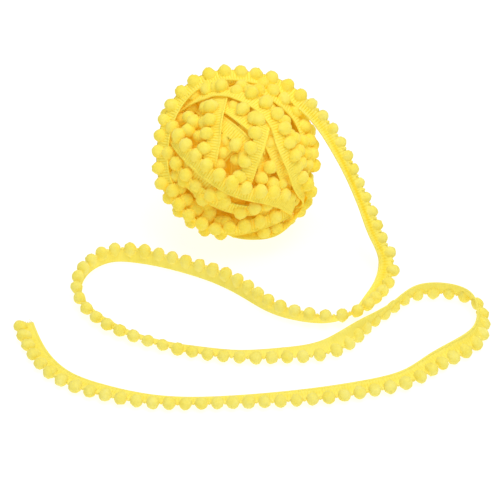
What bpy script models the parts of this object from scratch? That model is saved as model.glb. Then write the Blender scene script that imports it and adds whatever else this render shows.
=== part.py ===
"""A pompom fringe trim wound into a ball, with its loose end lying on the floor in an S.

The wound ball is one solid: the distance from its middle out to the surface is worked out in every
direction from its turns, each a band on a circle round the ball with pompoms along one edge. The loose
end is a tape and ten stretches of narrow backing strip with the pompoms grown out of it. The ball stands
on the origin, +X is the photo's right, +Y points away from the viewer and +Z is up. Lengths below are in
millimetres and angles in degrees; meshes are written in metres.
"""

import math
from typing import NamedTuple

import bmesh
import bpy
import numpy as np
from mathutils.geometry import delaunay_2d_cdt

MM = 0.001

# The trim: a woven tape with round pompoms sewn along one edge
TAPE_WIDTH = 4.8
TAPE_THICK = 1.0
PIECE_GAP = 0.36
BACKING_WIDTH = 0.8
POMPOM_RADIUS = 2.75
POMPOM_OUT = 5.2  # from the tape's middle line to the middle of a pompom
POMPOM_PITCH = 7.3

# The ball
BALL_HEIGHT = 41.0  # the ball's middle above the floor
CORE_RADIUS = 35.0
PIT_DEPTH = 4.0  # the hollow in the middle of the front
PIT_AZIMUTH = -90.0
PIT_HEIGHT = 46.0
PIT_ANGLE = 9.0
PIT_FADE = 14.0
FLAT_SPOT_RADIUS = 8.0
FLAT_SPOT_SIDES = 20
SQUASH_RADIUS = 42.4  # the squashed turns under the ball, cut level by the floor
SQUASH_ANGLE = 16.0
SQUASH_FADE = 30.0
EDGE_STEP = 4.4  # between sections along a turn
EDGE_IN = 0.3
EDGE_OUT = 0.7
LEAST_SPACING = 0.8
FILL_SPACING = 3.4
FILL_POINTS = 1500
HIDDEN_BY = 0.35
LEAST_APART = 1.7  # between pompoms' middles on the ball, in pompom radii
LEAST_ABOVE_FLOOR = 1.0
RING_SIDES = 7
RING_SHARES = (0.5, 0.88, 1.3)  # of a pompom's radius, as seen from the ball's middle
SKIRT_SHARE = 0.88  # from here a pompom runs down to its neighbours as a skirt
SKIRT_SLOPE = 3.4
TAIL_CLEARANCE = 6.8  # from the middle of the leaving tape to a pompom's middle on the ball
LEAVING_PLACES = (0.0, 3.5, 7.0, 10.5)

# The loose end
TAPE_SECTION_STEP = 4.4
STRETCHES = 10
POMPOMS_A_STRETCH = 11
NECK_HALF = 0.9
POMPOM_SIDES = 6
RING_BEYOND = (-1.45, 0.1, 1.7)  # a pompom's three rings, out from its middle
LINE_POINTS = 1600
BALL_CREASE = 60.0
TAPE_CREASE = 40.0
FLOOR_TOUCH = 0.35  # a pompom this near the floor lies on it


class Turn(NamedTuple):
    """A band on a circle round the ball's middle. Phase 0 is level and phase grows from there."""

    pole_lon: float  # the circle's pole, as longitude from +X and latitude
    pole_lat: float
    opening: float  # from the pole to the band's middle line
    start: float  # phase at which the band starts
    sweep: float
    level: float  # from the ball's middle to the band
    lean: float  # how far the pompom edge stands up from the ball
    side: int  # 1 when the pompoms are on the far side from the pole, -1 when on the near side


TURNS = (
    Turn(-90, 37, 70, 35.6, 279.4, 39.3, 22, 1),  # the outer ring, where the loose end leaves
    Turn(-122, -5, 85, -30, 360, 38.2, 4, 1),  # over the top and down the right front
    Turn(-154, -56, 82, -43, 360, 37.3, 4, 1),  # slantwise across the front
    Turn(175, 10, 69, 20, 74, 36.2, 3, -1),
    Turn(-6, -17, 80, 96, 72, 36.4, 3, 1),
    Turn(31, 46, 58, 84, 44, 35.4, 3, -1),
    Turn(26, 15, 71, 130, 40, 35.4, 3, -1),
    Turn(48, 17, 49, 80, 130, 36.8, 6, -1),
    Turn(-130, -63, 44, -24, 118, 37.0, 4, 1),
    Turn(-154, -56, 62, 10, 100, 36.4, 3, 1),
    Turn(80, -22, 56, 0, 360, 38.0, 4, 1),
    Turn(80, -22, 30, 40, 300, 37.0, 3, 1),
    Turn(150, 42, 84, 60, 240, 37.0, 3, -1),
    Turn(20, 60, 62, 150, 200, 36.4, 3, 1),
    Turn(70, 78, 26, 30, 300, 37.0, 3, 1),
    Turn(110, -48, 34, 150, 280, 37.2, 3, 1),
)


class Route(NamedTuple):
    """A place on the middle line of the loose end's tape."""

    x: float
    y: float
    lift: float  # above the height at which this roll rests on the floor
    roll: float  # 0 pompoms to the right of the way along, 90 down, 180 left, 270 up


TAIL_ROUTE = (
    Route(30.5, 4.5, 64.9, 214),
    Route(37.0, 1.5, 59.6, 204),
    Route(44.5, -5.0, 51.2, 195),
    Route(50.4, -12.5, 42.2, 184),
    Route(55.6, -18.4, 32.2, 177),
    Route(60.8, -26.1, 22.2, 173),
    Route(66.0, -34.8, 12.6, 179),
    Route(70.6, -42.0, 4.0, 186),
    Route(69.0, -49.5, 0.3, 194),
    Route(65.4, -57.6, 0.0, 202),
    Route(60.6, -67.4, 0.0, 216),
    Route(54.7, -76.2, 0.0, 231),
    Route(45.2, -81.0, 0.0, 243),
    Route(30.9, -79.6, 0.0, 254),
    Route(18.0, -73.7, 0.0, 264),
    Route(-0.7, -56.1, 0.0, 285),
    Route(-27.5, -40.0, 0.0, 271),
    Route(-49.0, -32.5, 0.0, 280),
    Route(-60.9, -32.3, 0.0, 274),
    Route(-70.7, -40.2, 0.0, 266),
    Route(-75.4, -55.0, 0.0, 284),
    Route(-70.8, -70.1, 0.0, 314),
    Route(-61.4, -81.1, 0.0, 328),
    Route(-43.5, -93.5, 0.0, 331),
    Route(-21.3, -101.1, 0.0, 342),
    Route(0.9, -105.6, 0.0, 349),
    Route(22.0, -105.4, 0.0, 360),
    Route(43.7, -102.0, 0.0, 390),
    Route(59.4, -90.0, 0.0, 450),
    Route(74.9, -74.5, 0.0, 472),
    Route(85.1, -64.2, 0.0, 466),
    Route(98.9, -62.3, 0.0, 464),
    Route(110.9, -68.1, 0.0, 473),
    Route(114.3, -79.5, 0.0, 478),
    Route(111.2, -96.3, 0.0, 484),
    Route(92.4, -111.4, 0.0, 520),
    Route(79.1, -123.2, 0.0, 527),
    Route(60.3, -130.3, 0.0, 534),
    Route(39.0, -135.3, 0.0, 536),
    Route(-4.0, -138.7, 0.0, 556),
    Route(-37.1, -138.7, 0.0, 552),
    Route(-61.9, -132.2, 0.0, 543),
    Route(-77.8, -123.2, 0.0, 543),
    Route(-89.0, -109.0, 0.0, 545),
    Route(-98.6, -82.2, 0.0, 556),
)


def clear_scene():
    for obj in list(bpy.data.objects):
        bpy.data.objects.remove(obj)


def cloth_material(name, colour, roughness):
    material = bpy.data.materials.new(name)
    material.use_nodes = True
    shader = material.node_tree.nodes["Principled BSDF"]
    shader.inputs["Base Color"].default_value = (*colour, 1.0)
    shader.inputs["Roughness"].default_value = roughness
    shader.inputs["Metallic"].default_value = 0.0
    return material


def add_object(name, points, faces, material, crease):
    """A mesh object from points in millimetres, smooth but for edges sharper than the crease angle."""
    mesh = bpy.data.meshes.new(name)
    mesh.from_pydata((np.asarray(points) * MM).tolist(), [], faces)
    build = bmesh.new()
    build.from_mesh(mesh)
    bmesh.ops.recalc_face_normals(build, faces=build.faces)
    build.to_mesh(mesh)
    build.free()
    mesh.shade_smooth()
    mesh.set_sharp_from_angle(angle=math.radians(crease))
    mesh.materials.append(material)
    obj = bpy.data.objects.new(name, mesh)
    bpy.context.scene.collection.objects.link(obj)
    return obj


def unit(vectors):
    return vectors / np.linalg.norm(vectors, axis=-1, keepdims=True)


def smooth_step(value):
    value = np.clip(value, 0.0, 1.0)
    return value * value * (3.0 - 2.0 * value)


# The wound ball


def turn_axes(turn):
    """The circle's pole and the two directions across it: phase 0, level, and phase 90."""
    lon = math.radians(turn.pole_lon)
    lat = math.radians(turn.pole_lat)
    pole = np.array([math.cos(lat) * math.cos(lon), math.cos(lat) * math.sin(lon), math.sin(lat)])
    level = unit(np.cross([0.0, 0.0, 1.0], pole))
    return pole, level, np.cross(pole, level)


def turn_points(turn, phases, across):
    """Points of a band, so far across it toward its pompoms, on its lean."""
    pole, level, upright = turn_axes(turn)
    around = np.outer(np.cos(phases), level) + np.outer(np.sin(phases), upright)
    opening = math.radians(turn.opening)
    outward = math.cos(opening) * pole + math.sin(opening) * around
    away = turn.side * (math.cos(opening) * around - math.sin(opening) * pole)
    lean = math.radians(turn.lean)
    width_way = math.cos(lean) * away + math.sin(lean) * outward
    return turn.level * outward + across * width_way


def turn_phases(turn, step):
    """Evenly spaced phases along a band, about a step apart and half a step in from its ends."""
    length = math.radians(turn.sweep) * turn.level * math.sin(math.radians(turn.opening))
    count = max(2, round(length / step))
    share = (np.arange(count) + 0.5) / count
    return math.radians(turn.start) + share * math.radians(turn.sweep)


def band_radius(turn, directions):
    """How far out each direction meets the band, or zero where it passes beside it."""
    pole, level, upright = turn_axes(turn)
    from_pole = np.arccos(np.clip(directions @ pole, -1.0, 1.0))
    phase = np.arctan2(directions @ upright, directions @ level)
    along = np.mod(phase - math.radians(turn.start), math.tau)
    across = turn.side * (from_pole - math.radians(turn.opening)) * turn.level
    on_band = (np.abs(across) <= TAPE_WIDTH / 2) & (along <= math.radians(turn.sweep))
    radius = turn.level + TAPE_THICK / 2 + across * math.tan(math.radians(turn.lean))
    return np.where(on_band, radius, 0.0)


def ball_pompoms(leaving):
    """The middles of every turn's pompoms, without those under another, the tail's start or the floor."""
    middles = np.concatenate([turn_points(t, turn_phases(t, POMPOM_PITCH), POMPOM_OUT) for t in TURNS])
    kept = []
    for middle in middles[np.argsort(-np.linalg.norm(middles, axis=1), kind="stable")]:
        way = unit(middle)
        apex = np.linalg.norm(middle) + POMPOM_RADIUS
        covered = max(band_radius(t, way[None, :])[0] for t in TURNS) > apex - HIDDEN_BY
        crowded = any(np.linalg.norm(middle - other) < LEAST_APART * POMPOM_RADIUS for other in kept)
        under_floor = BALL_HEIGHT + apex * way[2] < LEAST_ABOVE_FLOOR
        under_tail = np.min(np.linalg.norm(leaving - middle, axis=1)) < TAIL_CLEARANCE
        if not (covered or crowded or under_floor or under_tail):
            kept.append(middle)
    return np.array(kept)


def ball_radius(directions, pompoms):
    """The distance to the outermost of core, squashed bottom, bands and pompoms, stopped at the floor."""
    pit_lon = math.radians(PIT_AZIMUTH)
    pit_lat = math.radians(PIT_HEIGHT)
    level_way = [math.cos(pit_lon), math.sin(pit_lon)]
    pit_way = [math.cos(pit_lat) * level_way[0], math.cos(pit_lat) * level_way[1], math.sin(pit_lat)]
    from_pit = np.degrees(np.arccos(np.clip(directions @ pit_way, -1.0, 1.0)))
    radius = CORE_RADIUS - PIT_DEPTH * (1.0 - smooth_step((from_pit - PIT_ANGLE) / PIT_FADE))
    from_bottom = np.degrees(np.arccos(np.clip(-directions[:, 2], -1.0, 1.0)))
    squash = 1.0 - smooth_step((from_bottom - SQUASH_ANGLE) / SQUASH_FADE)
    radius = np.maximum(radius, CORE_RADIUS + squash * (SQUASH_RADIUS - CORE_RADIUS))
    for turn in TURNS:
        radius = np.maximum(radius, band_radius(turn, directions))
    for middle in pompoms:
        distance = np.linalg.norm(middle)
        beside = np.linalg.norm(directions - middle / distance, axis=1) * distance / POMPOM_RADIUS
        dome = np.sqrt(np.maximum(1.0 - np.minimum(beside, SKIRT_SHARE) ** 2, 0.0))
        skirt = SKIRT_SLOPE * np.maximum(beside - SKIRT_SHARE, 0.0)
        radius = np.maximum(radius, distance + POMPOM_RADIUS * (dome - skirt))
    to_floor = BALL_HEIGHT / np.maximum(-directions[:, 2], 1e-6)
    return np.minimum(radius, to_floor)


def pompom_ways(middle):
    """Directions through a pompom: its top, a ring half-way down, one at its rim and one at its skirt."""
    distance = np.linalg.norm(middle)
    way = middle / distance
    side = unit(np.cross(way, [0.31, 0.17, 0.93]))
    other = np.cross(way, side)
    rim = math.asin(POMPOM_RADIUS / distance)
    ways = [way]
    for number, share in enumerate(RING_SHARES):
        angles = (np.arange(RING_SIDES) + number / 2) * math.tau / RING_SIDES
        ring = np.outer(np.cos(angles), side) + np.outer(np.sin(angles), other)
        ways.extend(math.cos(share * rim) * way + math.sin(share * rim) * ring)
    return np.array(ways)


def band_lines(turn, pompoms):
    """Four lines of directions, inside and outside both edges of a band; a place that is covered is None."""
    phases = turn_phases(turn, EDGE_STEP)
    lines = []
    for edge in (-1, 1):
        inner = unit(turn_points(turn, phases, edge * (TAPE_WIDTH / 2 - EDGE_IN)))
        outer = unit(turn_points(turn, phases, edge * (TAPE_WIDTH / 2 + EDGE_OUT)))
        seen = ball_radius(inner, pompoms) < band_radius(turn, inner) + HIDDEN_BY
        for line in (inner, outer):
            lines.append([way if clear else None for way, clear in zip(line, seen)])
    return lines


def even_ways(count):
    """Directions spread evenly over the ball, on a spiral from top to bottom."""
    step = np.arange(count) + 0.5
    height = 1.0 - 2.0 * step / count
    turned = step * math.pi * (3.0 - math.sqrt(5.0))
    width = np.sqrt(1.0 - height**2)
    return np.stack([width * np.cos(turned), width * np.sin(turned), height], axis=1)


def add_way(way, spacing, kept):
    """Adds a direction to kept if clear of those there and of the flat spot; gives its number or None."""
    rim_height = -BALL_HEIGHT / math.hypot(BALL_HEIGHT, FLAT_SPOT_RADIUS + LEAST_SPACING)
    if way[2] < rim_height:
        return None
    if np.min(np.sum((np.array(kept) - way) ** 2, axis=1)) < (spacing / BALL_HEIGHT) ** 2:
        return None
    kept.append(way)
    return len(kept) - 1


def ball_ways(pompoms):
    """The directions of the ball's vertices, the flat spot's rim first, and the edges along the bands."""
    rim_angles = np.arange(FLAT_SPOT_SIDES) * math.tau / FLAT_SPOT_SIDES
    rim = np.stack(
        [
            FLAT_SPOT_RADIUS * np.cos(rim_angles),
            FLAT_SPOT_RADIUS * np.sin(rim_angles),
            np.full(FLAT_SPOT_SIDES, -BALL_HEIGHT),
        ],
        axis=1,
    )
    kept = list(unit(rim))
    edges = []
    for middle in pompoms:
        for way in pompom_ways(middle):
            add_way(way, LEAST_SPACING, kept)
    for turn in TURNS:
        for line in band_lines(turn, pompoms):
            last = None
            for way in line:
                number = None if way is None else add_way(way, LEAST_SPACING, kept)
                if number is not None and last is not None:
                    edges.append((last, number))
                last = number
    for way in even_ways(FILL_POINTS):
        add_way(way, FILL_SPACING, kept)
    return np.array(kept), edges


def net_over(ways, edges):
    """Directions and the triangles between neighbours, found on the plane as seen from under the ball."""
    flat = ways[:, :2] / (1.0 + ways[:, 2:3])
    places, _, faces, *_ = delaunay_2d_cdt([tuple(map(float, place)) for place in flat], edges, [], 0, 1e-7)
    flat = np.array([tuple(place) for place in places])
    squared = np.sum(flat**2, axis=1, keepdims=True)
    ways = np.concatenate([2.0 * flat, 1.0 - squared], axis=1) / (1.0 + squared)
    return ways, [tuple(face) for face in faces]


def add_wound_ball(line, material):
    leaving = tail_frame(line, np.array(LEAVING_PLACES))[0] - [0.0, 0.0, BALL_HEIGHT]
    pompoms = ball_pompoms(leaving)
    ways, faces = net_over(*ball_ways(pompoms))
    points = ways * ball_radius(ways, pompoms)[:, None] + [0.0, 0.0, BALL_HEIGHT]
    faces.append(tuple(range(FLAT_SPOT_SIDES)))
    add_object("wound_ball", points, faces, material, BALL_CREASE)


# The loose end


def smooth_line(values, knots, wanted):
    """A natural cubic through the values at the knots, read at the wanted places."""
    gap = np.diff(knots)
    count = len(knots)
    left = np.eye(count)
    right = np.zeros((count, values.shape[1]))
    slope = np.diff(values, axis=0) / gap[:, None]
    for i in range(1, count - 1):
        left[i, i - 1 : i + 2] = gap[i - 1], 2 * (gap[i - 1] + gap[i]), gap[i]
        right[i] = 6 * (slope[i] - slope[i - 1])
    bend = np.linalg.solve(left, right)
    i = np.clip(np.searchsorted(knots, wanted) - 1, 0, count - 2)
    a = (knots[i + 1] - wanted)[:, None]
    b = (wanted - knots[i])[:, None]
    h = gap[i][:, None]
    curve = (bend[i] * a**3 + bend[i + 1] * b**3) / (6 * h)
    return curve + (values[i] / h - bend[i] * h / 6) * a + (values[i + 1] / h - bend[i + 1] * h / 6) * b


def rest_height(roll):
    """The middle line's height at which the tape or its pompoms just touch the floor."""
    pompom_rise = -np.sin(roll)
    tape_down = TAPE_WIDTH / 2 * np.abs(pompom_rise) + TAPE_THICK / 2 * np.abs(np.cos(roll))
    return np.maximum(tape_down, POMPOM_RADIUS - POMPOM_OUT * pompom_rise)


def tail_line():
    """The tail's middle line and roll, as closely spaced points with their distance along it."""
    rows = np.array(TAIL_ROUTE)
    knots = np.concatenate([[0.0], np.cumsum(np.linalg.norm(np.diff(rows[:, :3], axis=0), axis=1))])
    places = np.linspace(0.0, knots[-1], LINE_POINTS)
    line = smooth_line(rows, knots, places)
    roll = np.radians(line[:, 3])
    middle = np.stack([line[:, 0], line[:, 1], np.maximum(line[:, 2], 0.0) + rest_height(roll)], axis=1)
    along = np.concatenate([[0.0], np.cumsum(np.linalg.norm(np.diff(middle, axis=0), axis=1))])
    return middle, roll, along


def tail_frame(line, places):
    """At each place along the tail: its middle, the way along, the way to the pompoms and the face's way."""
    middle, roll, along = line
    here = np.stack([np.interp(places, along, middle[:, k]) for k in range(3)], axis=1)
    ahead = np.stack([np.interp(places + 1.0, along, middle[:, k]) for k in range(3)], axis=1)
    behind = np.stack([np.interp(places - 1.0, along, middle[:, k]) for k in range(3)], axis=1)
    forward = unit(ahead - behind)
    turned = np.interp(places, along, roll)[:, None]
    right = unit(np.stack([forward[:, 1], -forward[:, 0], np.zeros(len(places))], axis=1))
    upward = np.cross(right, forward)
    to_pompom = np.cos(turned) * right - np.sin(turned) * upward
    return here, forward, to_pompom, np.cross(forward, to_pompom)


def box_section(frame, near, far):
    """Four corners at each place of a strip from near to far of the middle line, as an array."""
    here, _, to_pompom, face_way = frame
    half = TAPE_THICK / 2
    corners = ((near, -half), (far, -half), (far, half), (near, half))
    return np.stack([here + across * to_pompom + up * face_way for across, up in corners], axis=1)


def strip_faces(sections, left_open=()):
    """Quads along the sections and two end caps; an outer side named in left_open is left out."""
    faces = [(0, 1, 2, 3), tuple(4 * (sections - 1) + k for k in (3, 2, 1, 0))]
    for i in range(sections - 1):
        for k in range(4):
            if not (k == 1 and i in left_open):
                near, far = 4 * i + k, 4 * i + (k + 1) % 4
                faces.append((near, near + 4, far + 4, far))
    return faces


def add_tail_tape(line, material):
    length = line[2][-1]
    places = np.linspace(0.0, length, round(length / TAPE_SECTION_STEP) + 1)
    corners = box_section(tail_frame(line, places), -TAPE_WIDTH / 2, TAPE_WIDTH / 2)
    add_object("tail_tape", corners.reshape(-1, 3), strip_faces(len(places)), material, TAPE_CREASE)


def pompom_rings(frame, i):
    """A pompom's three rings and tip, about the way out from the tape, lying on the floor if near it."""
    here, forward, to_pompom, face_way = (part[i] for part in frame)
    angles = np.arange(POMPOM_SIDES) * math.tau / POMPOM_SIDES
    spokes = np.outer(np.cos(angles), face_way) + np.outer(np.sin(angles), forward)
    points = []
    for beyond in RING_BEYOND:
        wide = math.sqrt(POMPOM_RADIUS**2 - beyond**2)
        points.extend(here + (POMPOM_OUT + beyond) * to_pompom + wide * spokes)
    points.append(here + (POMPOM_OUT + POMPOM_RADIUS) * to_pompom)
    points = np.array(points)
    points[:, 2] = np.where(np.abs(points[:, 2]) < FLOOR_TOUCH, 0.0, points[:, 2])
    return points


def pompom_faces(first, neck):
    """Faces from the neck's four corners to the first ring, then ring to ring and over the tip."""
    low_start, high_start, high_end, low_end = neck
    ring = [first + k for k in range(POMPOM_SIDES)]
    faces = [
        (high_start, high_end, ring[0]),
        (high_end, ring[1], ring[0]),
        (high_start, ring[0], ring[5]),
        (high_end, low_end, ring[2], ring[1]),
        (low_end, low_start, ring[3]),
        (low_end, ring[3], ring[2]),
        (low_start, ring[4], ring[3]),
        (low_start, high_start, ring[5], ring[4]),
    ]
    tip = first + 3 * POMPOM_SIDES
    for k in range(POMPOM_SIDES):
        following = (k + 1) % POMPOM_SIDES
        for low in (first, first + POMPOM_SIDES):
            high = low + POMPOM_SIDES
            faces.append((low + k, low + following, high + following, high + k))
        top = first + 2 * POMPOM_SIDES
        faces.append((top + k, top + following, tip))
    return faces


def add_tail_stretch(line, number, pitch, material):
    """One stretch of backing strip with its pompoms grown out of its outer side."""
    first_pompom = (number * POMPOMS_A_STRETCH + 0.5) * pitch
    middles = first_pompom + np.arange(POMPOMS_A_STRETCH) * pitch
    start = middles[0] - pitch / 2 + PIECE_GAP / 2
    end = middles[-1] + pitch / 2 - PIECE_GAP / 2
    necks = np.stack([middles - NECK_HALF, middles + NECK_HALF], axis=1).ravel()
    places = np.concatenate([[start], necks, [end]])
    inner = TAPE_WIDTH / 2 + PIECE_GAP
    corners = box_section(tail_frame(line, places), inner, inner + BACKING_WIDTH)
    points = [corners.reshape(-1, 3)]
    faces = strip_faces(len(places), left_open=range(1, len(places) - 1, 2))
    frame = tail_frame(line, middles)
    for i in range(POMPOMS_A_STRETCH):
        before, after = 4 * (2 * i + 1), 4 * (2 * i + 2)
        first = sum(len(part) for part in points)
        faces.extend(pompom_faces(first, (before + 1, before + 2, after + 2, after + 1)))
        points.append(pompom_rings(frame, i))
    add_object(f"tail_pompoms_{number + 1:02d}", np.concatenate(points), faces, material, BALL_CREASE)


def add_tail(line, tape_material, pompom_material):
    pitch = line[2][-1] / (STRETCHES * POMPOMS_A_STRETCH)
    add_tail_tape(line, tape_material)
    for number in range(STRETCHES):
        add_tail_stretch(line, number, pitch, pompom_material)


def main():
    clear_scene()
    wound = cloth_material("wound trim", (0.96, 0.72, 0.09), 0.9)
    tape = cloth_material("woven tape", (0.97, 0.76, 0.11), 0.85)
    pompom = cloth_material("pompom pile", (0.98, 0.78, 0.12), 0.95)
    line = tail_line()
    add_wound_ball(line, wound)
    add_tail(line, tape, pompom)


main()
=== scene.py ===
"""The looks of a yellow pompom fringe trim, wound into a ball with its loose end lying in an S.

The ball is wound here turn by turn: each turn is a tape drawn over what already lies there, with its
pompoms set down beside it. The loose end follows the same route as its solids. Lengths below are in
millimetres and angles in degrees; only the lights, the floor and the finished meshes are in metres.
"""

import math

import bpy
import numpy as np
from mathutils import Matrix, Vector


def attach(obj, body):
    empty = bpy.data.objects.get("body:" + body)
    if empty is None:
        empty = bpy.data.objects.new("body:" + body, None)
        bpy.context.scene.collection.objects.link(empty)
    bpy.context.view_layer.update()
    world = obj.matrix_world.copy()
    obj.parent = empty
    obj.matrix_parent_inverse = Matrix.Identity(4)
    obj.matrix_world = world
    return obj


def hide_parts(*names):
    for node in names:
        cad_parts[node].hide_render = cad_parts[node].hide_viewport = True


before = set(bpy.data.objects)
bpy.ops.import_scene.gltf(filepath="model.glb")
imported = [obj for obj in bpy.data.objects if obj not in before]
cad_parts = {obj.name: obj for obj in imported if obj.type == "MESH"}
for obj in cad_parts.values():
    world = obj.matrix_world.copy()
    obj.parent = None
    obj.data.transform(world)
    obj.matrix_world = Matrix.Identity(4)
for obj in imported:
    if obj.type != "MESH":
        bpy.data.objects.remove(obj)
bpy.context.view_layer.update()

MM = 0.001

# The view
VIEW_HEIGHT = 37.0  # the camera looks down by this angle
VIEW_DISTANCE = 1600.0
VIEW_MIDDLE = (6.3, -22.6, 0.0)
VIEW_WIDTH = 243.9  # of the frame, at the middle of the view
SENSOR_WIDTH = 36.0
FLOOR_HALF = 3.0
FLOOR_UNDER = 0.0003  # so that it doesn't coincide with what lies on it
SEEN_RIGHT = np.array([1.0, 0.0, 0.0])
SEEN_UP = np.array([0.0, math.sin(math.radians(VIEW_HEIGHT)), math.cos(math.radians(VIEW_HEIGHT))])
SEEN_NEAR = np.array([0.0, -math.cos(math.radians(VIEW_HEIGHT)), math.sin(math.radians(VIEW_HEIGHT))])

# The trim
TAPE_HALF = 2.4
TAPE_EDGE = 4.9  # the edge that the pompoms are sewn to
TAPE_MIDDLE = 1.15
POMPOM_RADIUS = 3.05
POMPOM_OUT = 5.1
POMPOM_DRAWN = 1.4  # how far the half toward the tape is drawn out
WOUND_POMPOM_RADIUS = 3.3
WOUND_POMPOM_DRAWN = 1.15
WOUND_POMPOM_OUT = 4.8
RING_POMPOM_OUT = 4.0
POMPOM_PITCH = 7.3
POMPOM_AROUND = 12
POMPOM_RINGS = 6
POMPOM_NECK = 1.2  # from its middle to the neck's end, in its own radius
POMPOM_UNEVEN = 0.04
RIB_PITCH = 1.35
RIB_HEIGHT = 0.3
RIB_ROWS = (0.0, 0.15, 0.5, 0.85)  # places in each rib's pitch that have a row of points
RIB_RISE = (0.0, 0.85, 1.0, 0.85)
FINE_RIB_HEIGHT = 0.1
LEAST_CURL = 1e-4  # a flat tape's, so that it can still divide

# The ball
BALL_HEIGHT = 41.0
BALL_MIDDLE = np.array([0.0, 0.0, BALL_HEIGHT])


def unit(vectors):
    """The same directions with a length of one."""
    return vectors / np.linalg.norm(vectors, axis=-1, keepdims=True)


def smooth_line(values, knots, wanted):
    """A natural cubic through the values at the knots, read at the wanted places.

    The second derivatives m solve h0*m0 + 2(h0+h1)*m1 + h1*m2 = 6*(slope1 - slope0) at each inner knot.
    """
    gap = np.diff(knots)
    count = len(knots)
    slope = np.diff(values, axis=0) / gap[:, None]
    left = np.eye(count)
    inner = np.arange(1, count - 1)
    left[inner, inner - 1] = gap[:-1]
    left[inner, inner] = 2 * (gap[:-1] + gap[1:])
    left[inner, inner + 1] = gap[1:]
    right = np.zeros((count, values.shape[1]))
    right[inner] = 6 * (slope[1:] - slope[:-1])
    bend = np.linalg.solve(left, right)
    i = np.clip(np.searchsorted(knots, wanted) - 1, 0, count - 2)
    a = (knots[i + 1] - wanted)[:, None]
    b = (wanted - knots[i])[:, None]
    h = gap[i][:, None]
    curve = (bend[i] * a**3 + bend[i + 1] * b**3) / (6 * h)
    return curve + (values[i] / h - bend[i] * h / 6) * a + (values[i + 1] / h - bend[i + 1] * h / 6) * b


def distance_along(points):
    """How far along the line of points each of them is."""
    return np.concatenate([[0.0], np.cumsum(np.linalg.norm(np.diff(points, axis=0), axis=1))])


def read_along(rows, along, places):
    """Points or ways along a line, read at the wanted distances."""
    return np.stack([np.interp(places, along, rows[:, k]) for k in range(3)], axis=1)


def blurred(values, width, closed):
    """Values along a line, each replaced by a bell-weighted mean of its neighbours."""
    reach = int(3 * width)
    weights = np.exp(-0.5 * (np.arange(-reach, reach + 1) / width) ** 2)
    padded = np.pad(values, reach, mode="wrap" if closed else "edge")
    return np.convolve(padded, weights / weights.sum(), mode="valid")


def spread_up(values, reach, closed):
    """Values along a line, each replaced by the highest within reach of it."""
    padded = np.pad(values, reach, mode="wrap" if closed else "edge")
    return np.lib.stride_tricks.sliding_window_view(padded, 2 * reach + 1).max(axis=1)


# Camera, floor and light


def add_camera():
    data = bpy.data.cameras.new("camera")
    data.sensor_width = SENSOR_WIDTH
    data.lens = SENSOR_WIDTH * VIEW_DISTANCE / VIEW_WIDTH
    data.clip_end = 20.0
    camera = bpy.data.objects.new("camera", data)
    bpy.context.scene.collection.objects.link(camera)
    middle = np.array(VIEW_MIDDLE)
    camera.location = Vector((middle + VIEW_DISTANCE * SEEN_NEAR) * MM)
    camera.rotation_euler = (math.radians(90.0 - VIEW_HEIGHT), 0.0, 0.0)
    bpy.context.scene.camera = camera


def add_light(name, place, size, power):
    data = bpy.data.lights.new(name, "AREA")
    data.shape = "DISK"
    data.size = size
    data.energy = power
    lamp = bpy.data.objects.new(name, data)
    bpy.context.scene.collection.objects.link(lamp)
    lamp.location = place
    lamp.rotation_euler = (-Vector(place)).to_track_quat("-Z", "Y").to_euler()


def add_studio():
    scene = bpy.context.scene
    scene.view_settings.view_transform = "Standard"
    world = bpy.data.worlds.new("soft white room")
    world.use_nodes = True
    world.node_tree.nodes["Background"].inputs["Color"].default_value = (1.0, 1.0, 1.0, 1.0)
    world.node_tree.nodes["Background"].inputs["Strength"].default_value = 0.44
    scene.world = world
    add_light("overhead", (0.15, 0.1, 1.5), 1.5, 9.5)
    add_light("key", (0.35, -0.5, 1.3), 0.7, 3.7)
    add_light("front", (-0.1, -1.3, 0.75), 0.8, 1.7)
    scene.cycles.diffuse_bounces = 12
    sheet = bpy.data.meshes.new("floor")
    sides = ((-1, -1), (1, -1), (1, 1), (-1, 1))
    corners = [(x * FLOOR_HALF, y * FLOOR_HALF, -FLOOR_UNDER) for x, y in sides]
    sheet.from_pydata(corners, [], [(0, 1, 2, 3)])
    floor = bpy.data.objects.new("floor", sheet)
    scene.collection.objects.link(floor)
    material = bpy.data.materials.new("white paper")
    material.use_nodes = True
    shader = material.node_tree.nodes["Principled BSDF"]
    shader.inputs["Base Color"].default_value = (0.35, 0.35, 0.35, 1.0)
    shader.inputs["Roughness"].default_value = 0.95
    shader.inputs["Specular IOR Level"].default_value = 0.1
    shader.inputs["Emission Color"].default_value = (1.0, 1.0, 1.0, 1.0)
    shader.inputs["Emission Strength"].default_value = 0.78
    floor.data.materials.append(material)


# Materials


def shade(name, sheen, painted_glow):
    """A rough cloth shader with its node tree and a pile sheen. Its third argument is the strength of an even
    orange-yellow emission, a painted glow standing in for light soaking through the cloth.
    """
    material = bpy.data.materials.new(name)
    material.use_nodes = True
    shader = material.node_tree.nodes["Principled BSDF"]
    shader.inputs["Roughness"].default_value = 0.92
    shader.inputs["Specular IOR Level"].default_value = 0.12
    shader.inputs["Sheen Weight"].default_value = sheen
    shader.inputs["Sheen Roughness"].default_value = 0.5
    shader.inputs["Sheen Tint"].default_value = (1.0, 0.95, 0.6, 1.0)
    # Painted glow: an even emission, from no lamp, that lifts the shade in the crevices toward orange.
    shader.inputs["Emission Color"].default_value = (1.0, 0.8, 0.02, 1.0)
    shader.inputs["Emission Strength"].default_value = painted_glow
    return material, material.node_tree, shader


def maths(tree, operation, *values, clamp=False):
    """A Math node, whose inputs are sockets or numbers."""
    made = tree.nodes.new("ShaderNodeMath")
    made.operation = operation
    made.use_clamp = clamp
    for socket, value in zip(made.inputs, values):
        if isinstance(value, (int, float)):
            socket.default_value = value
        else:
            tree.links.new(value, socket)
    return made.outputs[0]


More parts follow.
